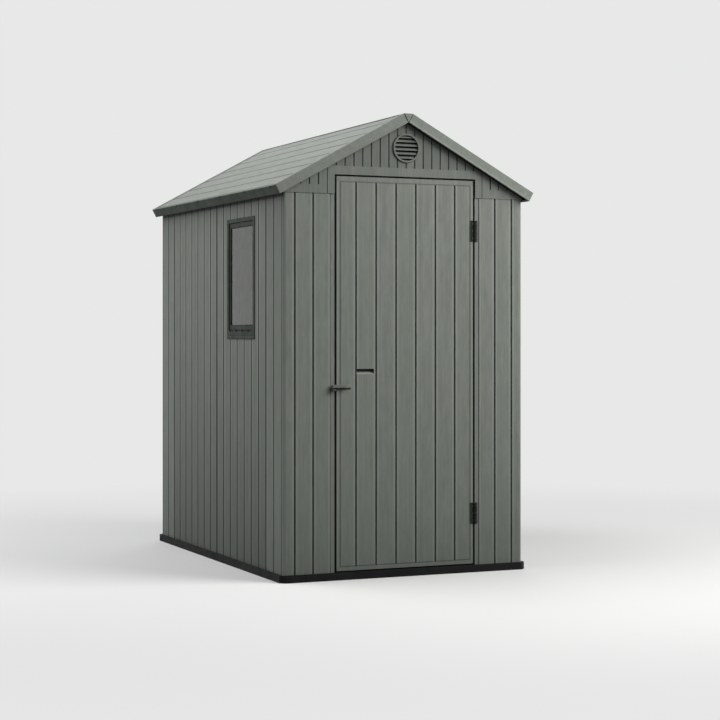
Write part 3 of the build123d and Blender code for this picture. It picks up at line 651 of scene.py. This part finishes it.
steelLook = {"fine": 1500.0, "drawn": 300.0, "shiny": 0.35, "dull": 0.5}


def steelMaterial(name, dark, light):
    look = steelLook
    material, tree, shader, place = newMaterial(name)
    turned = useGroup(tree, grainGroup, Place=place, Along=(1, 0, 0), Fine=look["fine"], Drawn=look["drawn"])
    plug(tree, mixColour(tree, turned["Tone"], dark, light), shader.inputs["Base Color"])
    plug(tree, fade(tree, turned["Tone"], 0.3, 0.7, look["shiny"], look["dull"]), shader.inputs["Roughness"])
    shader.inputs["Metallic"].default_value = 1.0
    return material


glassLook = {"dark": (0.40, 0.44, 0.38, 1), "clear": (0.58, 0.61, 0.53, 1), "bend": 1.33, "specular": 0.15,
             "filmScale": 22.0, "shiny": 0.02, "dull": 0.06}


def glassMaterial():
    look = glassLook
    material, tree, shader, place = newMaterial("paneGlass")
    film = noise(tree, place, look["filmScale"], 4.0, 0.6)
    plug(tree, mixColour(tree, film, look["dark"], look["clear"]), shader.inputs["Base Color"])
    plug(tree, fade(tree, film, 0.4, 0.8, look["shiny"], look["dull"]), shader.inputs["Roughness"])
    shader.inputs["Transmission Weight"].default_value = 1.0
    shader.inputs["IOR"].default_value = look["bend"]
    shader.inputs["Specular IOR Level"].default_value = look["specular"]
    return material


hingeLook = {"low": (0.026, 0.030, 0.024, 1), "high": (0.038, 0.043, 0.035, 1), "core": deepShade,
             "coreFrom": 0.0080, "coreTo": 0.0105, "specular": 0.12, "cloudScale": 40.0, "skinScale": 1100.0,
             "dull": 0.62, "shiny": 0.52, "relief": 0.2, "reliefDepth": 0.0003}


def hingeMaterial():
    # dark leaves, with painted shade near black at the knuckles
    look = hingeLook
    material, tree, shader, place = newMaterial("hingeResin")
    away = mathNode(tree, "ABSOLUTE", mathNode(tree, "SUBTRACT", split(tree, place)["X"], hingeX))
    core = fade(tree, away, look["coreFrom"], look["coreTo"], 1.0, 0.0)
    clouds = noise(tree, place, look["cloudScale"], 3.0, 0.6)
    leaf = mixColour(tree, fade(tree, clouds, 0.3, 0.7), look["low"], look["high"])
    plug(tree, mixColour(tree, core, leaf, look["core"]), shader.inputs["Base Color"])
    plug(tree, fade(tree, clouds, 0.3, 0.7, look["dull"], look["shiny"]), shader.inputs["Roughness"])
    shader.inputs["Specular IOR Level"].default_value = look["specular"]
    bump(tree, shader, noise(tree, place, look["skinScale"], 2.0, 0.5), look["relief"], look["reliefDepth"])
    return material


pinLow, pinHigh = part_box("hinge_upper_pin")
hingeX = (pinLow.x + pinHigh.x) / 2
hingeResin = hingeMaterial()
pinSteel = steelMaterial("pinSteel", (0.06, 0.06, 0.06, 1), (0.12, 0.12, 0.12, 1))
screwSteel = steelMaterial("screwSteel", (0.03, 0.03, 0.03, 1), (0.06, 0.06, 0.06, 1))
paneGlass = glassMaterial()
print("trim, steel and glass materials made")


def dress(material, *names):
    for name in names:
        mesh = nodes[name].data
        mesh.materials.clear()
        mesh.materials.append(material)


dress(cornerResin, "corner_front_left", "corner_front_right", "corner_rear_left", "corner_rear_right")
dress(rearWall, "panel_rear")
dress(jambResin, "jamb_left", "head_stop")
dress(hingeJambResin, "jamb_right")
dress(sideWall, "panel_left_front", "panel_left_rear", "panel_right_front", "panel_right_rear")
dress(gableResin, "gable_front_left", "gable_front_right", "gable_rear_left", "gable_rear_right", "gable_vent")
dress(doorResin, "door_leaf")
dress(eyeResin, "door_eye")
dress(jambEyeShadowResin, "jamb_eye")
dress(roofResin, "roof_panel_left", "roof_panel_right")
dress(rakeResin, "rake_trim_front_left", "rake_trim_front_right", "rake_trim_rear_left", "rake_trim_rear_right",
      "ridge_cap")
dress(eaveResin, "eave_trim_left", "eave_trim_right")
dress(darkResin, "window_sash", "window_sill")
dress(frameResin, "window_frame")
dress(hingeResin, "hinge_upper_jamb_leaf", "hinge_lower_jamb_leaf", "hinge_upper_door_leaf", "hinge_lower_door_leaf")
dress(blackResin, "floor_front", "floor_rear")
dress(beamPaint, "ridge_beam")
dress(pinSteel, "hinge_upper_pin", "hinge_lower_pin")
dress(paneGlass, "window_pane")
print("nodes dressed")


# pieces made here
def addPiece(name, mesh, material, body):
    piece = bpy.data.objects.new(name, mesh)
    bpy.context.scene.collection.objects.link(piece)
    mesh.materials.clear()
    mesh.materials.append(material)
    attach(piece, body)
    return piece


def meshOf(name, work):
    mesh = bpy.data.meshes.new(name)
    work.to_mesh(mesh)
    work.free()
    return mesh


def addBox(work, corners):
    # its eight corners are listed with the last direction changing fastest
    made = [work.verts.new(corner) for corner in corners]
    for quad in ((0, 1, 3, 2), (4, 6, 7, 5), (0, 4, 5, 1), (2, 3, 7, 6), (0, 2, 6, 4), (1, 5, 7, 3)):
        work.faces.new([made[corner] for corner in quad])


softUnder = math.radians(40.0)  # edges that turn by less than this are shaded smooth


def meshFrom(name, points, faces):
    mesh = bpy.data.meshes.new(name)
    mesh.from_pydata([tuple(point) for point in points], [], faces)
    work = bmesh.new()
    work.from_mesh(mesh)
    bmesh.ops.remove_doubles(work, verts=work.verts, dist=1e-6)
    bmesh.ops.recalc_face_normals(work, faces=work.faces)
    for face in work.faces:
        face.smooth = True
    for edge in work.edges:
        if len(edge.link_faces) == 2:
            edge.smooth = edge.calc_face_angle(0.0) < softUnder
    work.to_mesh(mesh)
    work.free()
    return mesh


def arc(centreU, centreV, radius, first, last, steps):
    # points on an arc, by angles in degrees
    for index in range(steps + 1):
        angle = math.radians(first + (last - first) * index / steps)
        yield (centreU + radius * math.cos(angle), centreV + radius * math.sin(angle))


# moulded edges: a copy of a CAD piece with its sharp edges rounded over
softEdges = {
    "window_frame": (0.0016, frameResin, "dark_resin"),
    "window_sash": (0.0012, darkResin, "dark_resin"),
    "window_sill": (0.0020, darkResin, "dark_resin"),
    "eave_trim_left": (0.0014, eaveResin, "dark_resin"),
    "eave_trim_right": (0.0014, eaveResin, "dark_resin"),
    "rake_trim_front_left": (0.0012, rakeResin, "roof_resin"),
    "rake_trim_front_right": (0.0012, rakeResin, "roof_resin"),
    "rake_trim_rear_left": (0.0012, rakeResin, "roof_resin"),
    "rake_trim_rear_right": (0.0012, rakeResin, "roof_resin"),
    "ridge_cap": (0.0014, rakeResin, "roof_resin"),
    "floor_front": (0.0030, blackResin, "black_resin"),
    "floor_rear": (0.0030, blackResin, "black_resin"),
    "door_leaf": (0.0009, doorResin, "door_resin"),
    "door_eye": (0.0022, eyeResin, "door_resin"),
    "jamb_eye": (0.0022, jambEyeShadowResin, "wall_resin"),
    "hinge_upper_jamb_leaf": (0.0007, hingeResin, "dark_resin"),
    "hinge_lower_jamb_leaf": (0.0007, hingeResin, "dark_resin"),
    "hinge_upper_door_leaf": (0.0007, hingeResin, "dark_resin"),
    "hinge_lower_door_leaf": (0.0007, hingeResin, "dark_resin"),
}
edgeLook = {"merge": 2e-6, "flat": 0.6, "sharp": 24.0, "segments": 2, "weight": 90}
bodyOf = {node: body for body, members in frame["record"]["behaviour"]["bodies"].items() for node in members}


def softened(node, width, material):
    look = edgeLook
    work = bmesh.new()
    work.from_mesh(nodes[node].data)
    bmesh.ops.remove_doubles(work, verts=work.verts, dist=look["merge"])
    flat = math.radians(look["flat"])
    bmesh.ops.dissolve_limit(work, angle_limit=flat, verts=work.verts, edges=work.edges, delimit=set())
    for face in work.faces:
        face.smooth = True
    piece = addPiece(node + "_soft", meshOf(node + "_soft", work), material, bodyOf[node])
    rounding = piece.modifiers.new("rounding", "BEVEL")
    rounding.width = width
    rounding.segments = look["segments"]
    rounding.limit_method = "ANGLE"
    rounding.angle_limit = math.radians(look["sharp"])
    facing = piece.modifiers.new("facing", "WEIGHTED_NORMAL")
    facing.weight = look["weight"]
    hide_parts(node)


for node, (width, material, slot) in softEdges.items():
    softened(node, width, material)
print("edges rounded on", len(softEdges), "pieces")


# round vent: a rolled ring and seven thick slats that follow its bore
ventLook = {
    "slats": 7,
    "pitch": 0.0183,
    "chord": 0.0165,
    "thick": 0.0040,
    "tilt": 50.0,
    "drop": 0.0040,
    "setback": 0.0100,
    "bore": 0.0565,
    "collar": 0.0595,
    "collarStart": 0.0060,
    "lip": 0.0020,
    "rim": 0.0026,
    "reachIn": 0.0008,
    "turns": 96,
}


def makeVentRing(low, high):
    look = ventLook
    middle = (low.z + high.z) / 2
    radius = (high.z - low.z) / 2
    front, back = low.y, high.y
    profile = [(look["bore"], back)]
    profile += list(arc(look["bore"] + look["lip"], front + look["lip"], look["lip"], 180, 270, 5))
    profile += list(arc(radius - look["rim"], front + look["rim"], look["rim"], 270, 360, 6))
    profile += [(radius, front + look["collarStart"]), (look["collar"], front + look["collarStart"])]
    profile.append((look["collar"], back))
    points, faces = [], []
    count = len(profile)
    for turn in range(look["turns"]):
        angle = 2 * math.pi * turn / look["turns"]
        for r, y in profile:
            points.append((r * math.cos(angle), y, middle + r * math.sin(angle)))
        after = (turn + 1) % look["turns"]
        for index in range(count):
            nearby = (index + 1) % count
            faces.append((turn * count + index, turn * count + nearby,
                          after * count + nearby, after * count + index))
    return points, faces


def makeVentSlats(low, high):
    look = ventLook
    middle = (low.z + high.z) / 2
    tilt = math.radians(look["tilt"])
    half = look["chord"] / 2 - look["thick"] / 2
    section = list(arc(half, 0.0, look["thick"] / 2, -90, 90, 7))
    section += list(arc(-half, 0.0, look["thick"] / 2, 90, 270, 7))
    points, faces = [], []
    for slat in range(look["slats"]):
        height = (slat - (look["slats"] - 1) / 2) * look["pitch"] - look["drop"]
        start = len(points)
        for u, v in section:
            y = low.y + look["setback"] + u * math.cos(tilt) - v * math.sin(tilt)
            z = height + u * math.sin(tilt) + v * math.cos(tilt)
            z = max(-look["bore"], min(look["bore"], z))
            reach = math.sqrt(max(look["bore"] ** 2 - z * z, 0.0)) + look["reachIn"]
            points += [(-reach, y, middle + z), (reach, y, middle + z)]
        count = len(section)
        for index in range(count):
            a, b = start + 2 * index, start + 2 * ((index + 1) % count)
            faces.append((a, b, b + 1, a + 1))
        faces.append(tuple(start + 2 * index for index in range(count)))
        faces.append(tuple(start + 2 * index + 1 for index in reversed(range(count))))
    return points, faces


ventLow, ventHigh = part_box("gable_vent")
ringMesh = meshFrom("vent_ring", *makeVentRing(ventLow, ventHigh))
ringPiece = addPiece("vent_ring", ringMesh, ringResin, "shed")
slatMesh = meshFrom("vent_slats", *makeVentSlats(ventLow, ventHigh))
addPiece("vent_slats", slatMesh, ventResin, "shed")
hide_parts("gable_vent")
print("vent made")


# rubber bead that holds the pane in its sash
beadLook = {"lap": 0.0060, "width": 0.0038, "proud": 0.0030, "shoulder": 0.6, "crown": 0.4, "fold": 0.5, "steps": 5}


def makeBead(low, high):
    # an oblong loop round the glass, on the pane's outer face
    look = beadLook
    bottom, top = low.z + look["lap"], high.z - look["lap"]
    front, rear = low.y + look["lap"], high.y - look["lap"]
    outer = low.x
    section = [(0.0, 0.0), (0.0, look["proud"] * look["shoulder"])]
    section += [(look["width"] * (1 - math.cos(a)), look["proud"] * (look["shoulder"] + look["crown"] * math.sin(a)))
                for a in (math.pi * step / (2 * look["steps"]) for step in range(1, look["steps"]))]
    section += [(look["width"], look["proud"] * look["fold"]), (look["width"], 0.0)]
    points, faces = [], []
    for inset, proud in section:
        x = outer - proud
        points += [(x, front + inset, bottom + inset), (x, rear - inset, bottom + inset),
                   (x, rear - inset, top - inset), (x, front + inset, top - inset)]
    count = len(section)
    for index in range(count):
        here, after = 4 * index, 4 * ((index + 1) % count)
        for corner in range(4):
            side = (corner + 1) % 4
            faces.append((here + corner, here + side, after + side, after + corner))
    return points, faces


paneLow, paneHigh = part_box("window_pane")
addPiece("window_bead", meshFrom("window_bead", *makeBead(paneLow, paneHigh)), rubber, "shed")
print("window bead made")


# screws in the hinge leaves: low pan heads with a cross recess
screwLook = {
    "radius": 0.0034,
    "height": 0.0015,
    "recess": 0.0009,
    "profile": ((1.0, 0.0), (1.0, 0.45), (0.86, 0.85), (0.66, 1.0)),
    "arm": 0.0019,
    "armHalf": 0.00045,
    "taper": 0.8,
    "spinStep": 0.5,
    "spinStart": {"jamb": 0.9, "door": 0.3},
    "turns": 24,
    "places": (0.15, 0.5, 0.85),
    "edgeDistance": 0.0050,
    "plateSetback": 0.0055,
}


def makeScrew(x, y, z, spin):
    # the head faces -Y; the cross is turned a little, as a fitted screw is
    look = screwLook
    work = bmesh.new()
    loops = []
    for wide, tall in look["profile"]:
        r, up = look["radius"] * wide, look["height"] * tall
        loop = []
        for turn in range(look["turns"]):
            angle = 2 * math.pi * turn / look["turns"]
            loop.append(work.verts.new((x + r * math.cos(angle), y - up, z + r * math.sin(angle))))
        loops.append(loop)
    for lower, upper in zip(loops, loops[1:]):
        for turn in range(look["turns"]):
            after = (turn + 1) % look["turns"]
            work.faces.new((lower[turn], lower[after], upper[after], upper[turn]))
    arm, thin = look["arm"], look["armHalf"]
    cross = []
    for quarter in range(4):
        for u, v in ((thin, thin), (arm, thin), (arm, -thin)):
            angle = spin - quarter * math.pi / 2
            cross.append((u * math.cos(angle) - v * math.sin(angle), u * math.sin(angle) + v * math.cos(angle)))
    top = [work.verts.new((x + u, y - look["height"], z + v)) for u, v in cross]
    floor, taper = y - look["height"] + look["recess"], look["taper"]
    deep = [work.verts.new((x + u * taper, floor, z + v * taper)) for u, v in cross]
    count, rim = len(cross), loops[-1]
    topEdges = [work.edges.new((top[index], top[(index + 1) % count])) for index in range(count)]
    rimEdges = [work.edges.get((rim[turn], rim[(turn + 1) % look["turns"]])) for turn in range(look["turns"])]
    bmesh.ops.triangle_fill(work, use_beauty=True, edges=topEdges + rimEdges)
    for index in range(count):
        after = (index + 1) % count
        work.faces.new((top[index], top[after], deep[after], deep[index]))
    work.faces.new(deep)
    work.faces.new(list(reversed(loops[0])))
    bmesh.ops.recalc_face_normals(work, faces=work.faces)
    return meshOf("screw", work)


def makeHingeScrews(level, holder, body):
    look = screwLook
    low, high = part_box("hinge_" + level + "_" + holder + "_leaf")
    x = high.x - look["edgeDistance"] if holder == "jamb" else low.x + look["edgeDistance"]
    work = bmesh.new()
    for index, share in enumerate(look["places"]):
        spin = look["spinStep"] * index + look["spinStart"][holder]
        screw = makeScrew(x, low.y + look["plateSetback"], low.z + share * (high.z - low.z), spin)
        work.from_mesh(screw)
        bpy.data.meshes.remove(screw)
    name = "hinge_" + level + "_" + holder + "_screws"
    addPiece(name, meshOf(name, work), screwSteel, body)


# thin seats that the hinge leaves lie on, a little wider than the leaves
seatLook = {"inner": 0.0052, "doorOuter": 0.0210, "jambOuter": 0.0186, "thick": 0.0010, "spare": 0.0015,
            "roundness": 0.0004, "jambSetback": 0.0020}


def makeHingeSeat(level, holder, body):
    look = seatLook
    low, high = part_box("hinge_" + level + "_" + holder + "_leaf")
    hand = 1 if holder == "jamb" else -1
    back = frontY + (look["jambSetback"] if holder == "jamb" else 0.0)
    work = bmesh.new()
    addBox(work, [(x, y, z) for x in (hingeX + hand * look["inner"], hingeX + hand * look[holder + "Outer"])
                  for y in (back - look["thick"], back)
                  for z in (low.z - look["spare"], high.z + look["spare"])])
    bmesh.ops.recalc_face_normals(work, faces=work.faces)
    bmesh.ops.bevel(work, geom=list(work.edges), offset=look["roundness"], segments=2, profile=0.5, affect="EDGES")
    name = "hinge_" + level + "_" + holder + "_seat"
    addPiece(name, meshOf(name, work), hingeResin, body)


for level in ("upper", "lower"):
    for holder, body in (("jamb", "shed"), ("door", "door")):
        makeHingeScrews(level, holder, body)
        makeHingeSeat(level, holder, body)
print("hinge screws and seats made")


# snap tabs in the notches along the eaves, in black resin: painted shade in the notches
tabLook = {"count": 6, "spacing": 0.338, "width": 0.0212, "length": 0.0076, "rise": 0.0032,
           "notchDepth": 0.0035, "down": 0.0036, "trimThick": 0.008, "roundness": 0.0009}


def makeEaveTabs(side, hand):
    look = tabLook
    low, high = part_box("eave_trim_" + hand)
    edge = Vector((low.x if side < 0 else high.x, 0.0, high.z - look["trimThick"] * math.sin(roofPitch)))
    out = Vector((side * math.cos(roofPitch), 0.0, -math.sin(roofPitch)))
    down = Vector((-side * math.sin(roofPitch), 0.0, -math.cos(roofPitch)))
    work = bmesh.new()
    for index in range(look["count"]):
        along = (index - (look["count"] - 1) / 2) * look["spacing"]
        middle = edge + down * look["down"] - out * (look["notchDepth"] - look["rise"] / 2)
        corners = []
        for a in (-1, 1):
            for b in (-1, 1):
                for c in (-1, 1):
                    offset = down * (b * look["length"] / 2) + out * (c * look["rise"] / 2)
                    corners.append(middle + offset + Vector((0, along + a * look["width"] / 2, 0)))
        addBox(work, corners)
    bmesh.ops.recalc_face_normals(work, faces=work.faces)
    bmesh.ops.bevel(work, geom=list(work.edges), offset=look["roundness"], segments=3, profile=0.5, affect="EDGES")
    name = "eave_tabs_" + hand
    addPiece(name, meshOf(name, work), blackResin, "shed")


makeEaveTabs(-1, "left")
makeEaveTabs(1, "right")
print("eave tabs made")


# floor that fades into the pale background
stageLook = {
    "radius": 60.0,
    "pale": (0.80, 0.81, 0.80, 1),
    "ground": (0.70, 0.705, 0.70, 1),
    "bounce": (0.16, 0.16, 0.155, 1),
    "fadeFrom": 1.2,
    "fadeTo": 4.5,
    "glow": (0.97, 0.99, 1.0, 1),
    "strength": 0.30,
}


def seenRays(tree):
    # 1 for what is seen directly, in a reflection or through glass
    path = addNode(tree, "ShaderNodeLightPath").outputs
    seen = mathNode(tree, "MAXIMUM", path["Is Camera Ray"], path["Is Glossy Ray"])
    return path, mathNode(tree, "MAXIMUM", seen, path["Is Transmission Ray"])


def makeFloor():
    mesh = bpy.data.meshes.new("studioFloor")
    r = stageLook["radius"]
    mesh.from_pydata([(-r, -r, 0), (r, -r, 0), (r, r, 0), (-r, r, 0)], [], [(0, 1, 2, 3)])
    floor = bpy.data.objects.new("studioFloor", mesh)
    bpy.context.scene.collection.objects.link(floor)
    material = bpy.data.materials.new("studioFloor")
    material.use_nodes = True
    tree = material.node_tree
    tree.nodes.clear()
    output = addNode(tree, "ShaderNodeOutputMaterial")
    matt = addNode(tree, "ShaderNodeBsdfDiffuse")
    pale = addNode(tree, "ShaderNodeEmission")
    pale.inputs["Color"].default_value = stageLook["pale"]
    path, seen = seenRays(tree)
    plug(tree, mixColour(tree, seen, stageLook["bounce"], stageLook["ground"]), matt.inputs["Color"])
    place = addNode(tree, "ShaderNodeTexCoord").outputs["Object"]
    far = fade(tree, vectorNode(tree, "LENGTH", place), stageLook["fadeFrom"], stageLook["fadeTo"])
    mix = addNode(tree, "ShaderNodeMixShader")
    plug(tree, multiply(tree, seen, far), mix.inputs[0])
    tree.links.new(matt.outputs[0], mix.inputs[1])
    tree.links.new(pale.outputs[0], mix.inputs[2])
    clear = addNode(tree, "ShaderNodeBsdfTransparent")
    under = addNode(tree, "ShaderNodeMixShader")
    back = addNode(tree, "ShaderNodeNewGeometry").outputs["Backfacing"]
    plug(tree, multiply(tree, back, path["Is Camera Ray"]), under.inputs[0])
    tree.links.new(mix.outputs[0], under.inputs[1])
    tree.links.new(clear.outputs[0], under.inputs[2])
    tree.links.new(under.outputs[0], output.inputs["Surface"])
    mesh.materials.append(material)


def makeWorld():
    world = bpy.data.worlds.new("studio")
    bpy.context.scene.world = world
    world.use_nodes = True
    tree = world.node_tree
    tree.nodes.clear()
    output = addNode(tree, "ShaderNodeOutputWorld")
    glow = addNode(tree, "ShaderNodeBackground")
    glow.inputs["Color"].default_value = stageLook["glow"]
    glow.inputs["Strength"].default_value = stageLook["strength"]
    pale = addNode(tree, "ShaderNodeBackground")
    pale.inputs["Color"].default_value = stageLook["pale"]
    mix = addNode(tree, "ShaderNodeMixShader")
    plug(tree, seenRays(tree)[1], mix.inputs[0])
    tree.links.new(glow.outputs[0], mix.inputs[1])
    tree.links.new(pale.outputs[0], mix.inputs[2])
    tree.links.new(mix.outputs[0], output.inputs["Surface"])


# soft panels: place, what each faces, size, power and colour
lamps = {
    "skyPanel": ((-3.2, 1.1, 4.6), (-0.4, 0.0, 1.5), (5.0, 5.0), 232.0, (1, 1, 1)),
    "frontPanel": ((2.9, -3.3, 3.5), (0.1, -0.9, 1.2), (3.6, 3.0), 258.0, (1.0, 0.99, 0.97)),
    "rearPanel": ((2.2, 5.2, 3.6), (0.0, 0.9, 1.0), (3.0, 3.0), 70.0, (1, 1, 1)),
}


def makeLamp(name, place, aim, size, power, colour):
    data = bpy.data.lights.new(name, "AREA")
    data.shape = "RECTANGLE"
    data.size, data.size_y = size
    data.energy = power
    data.color = colour
    lamp = bpy.data.objects.new(name, data)
    lamp.location = place
    lamp.rotation_euler = (Vector(aim) - Vector(place)).to_track_quat("-Z", "Y").to_euler()
    bpy.context.scene.collection.objects.link(lamp)


makeFloor()
makeWorld()
for name, settings in lamps.items():
    makeLamp(name, *settings)
print("stage lit")
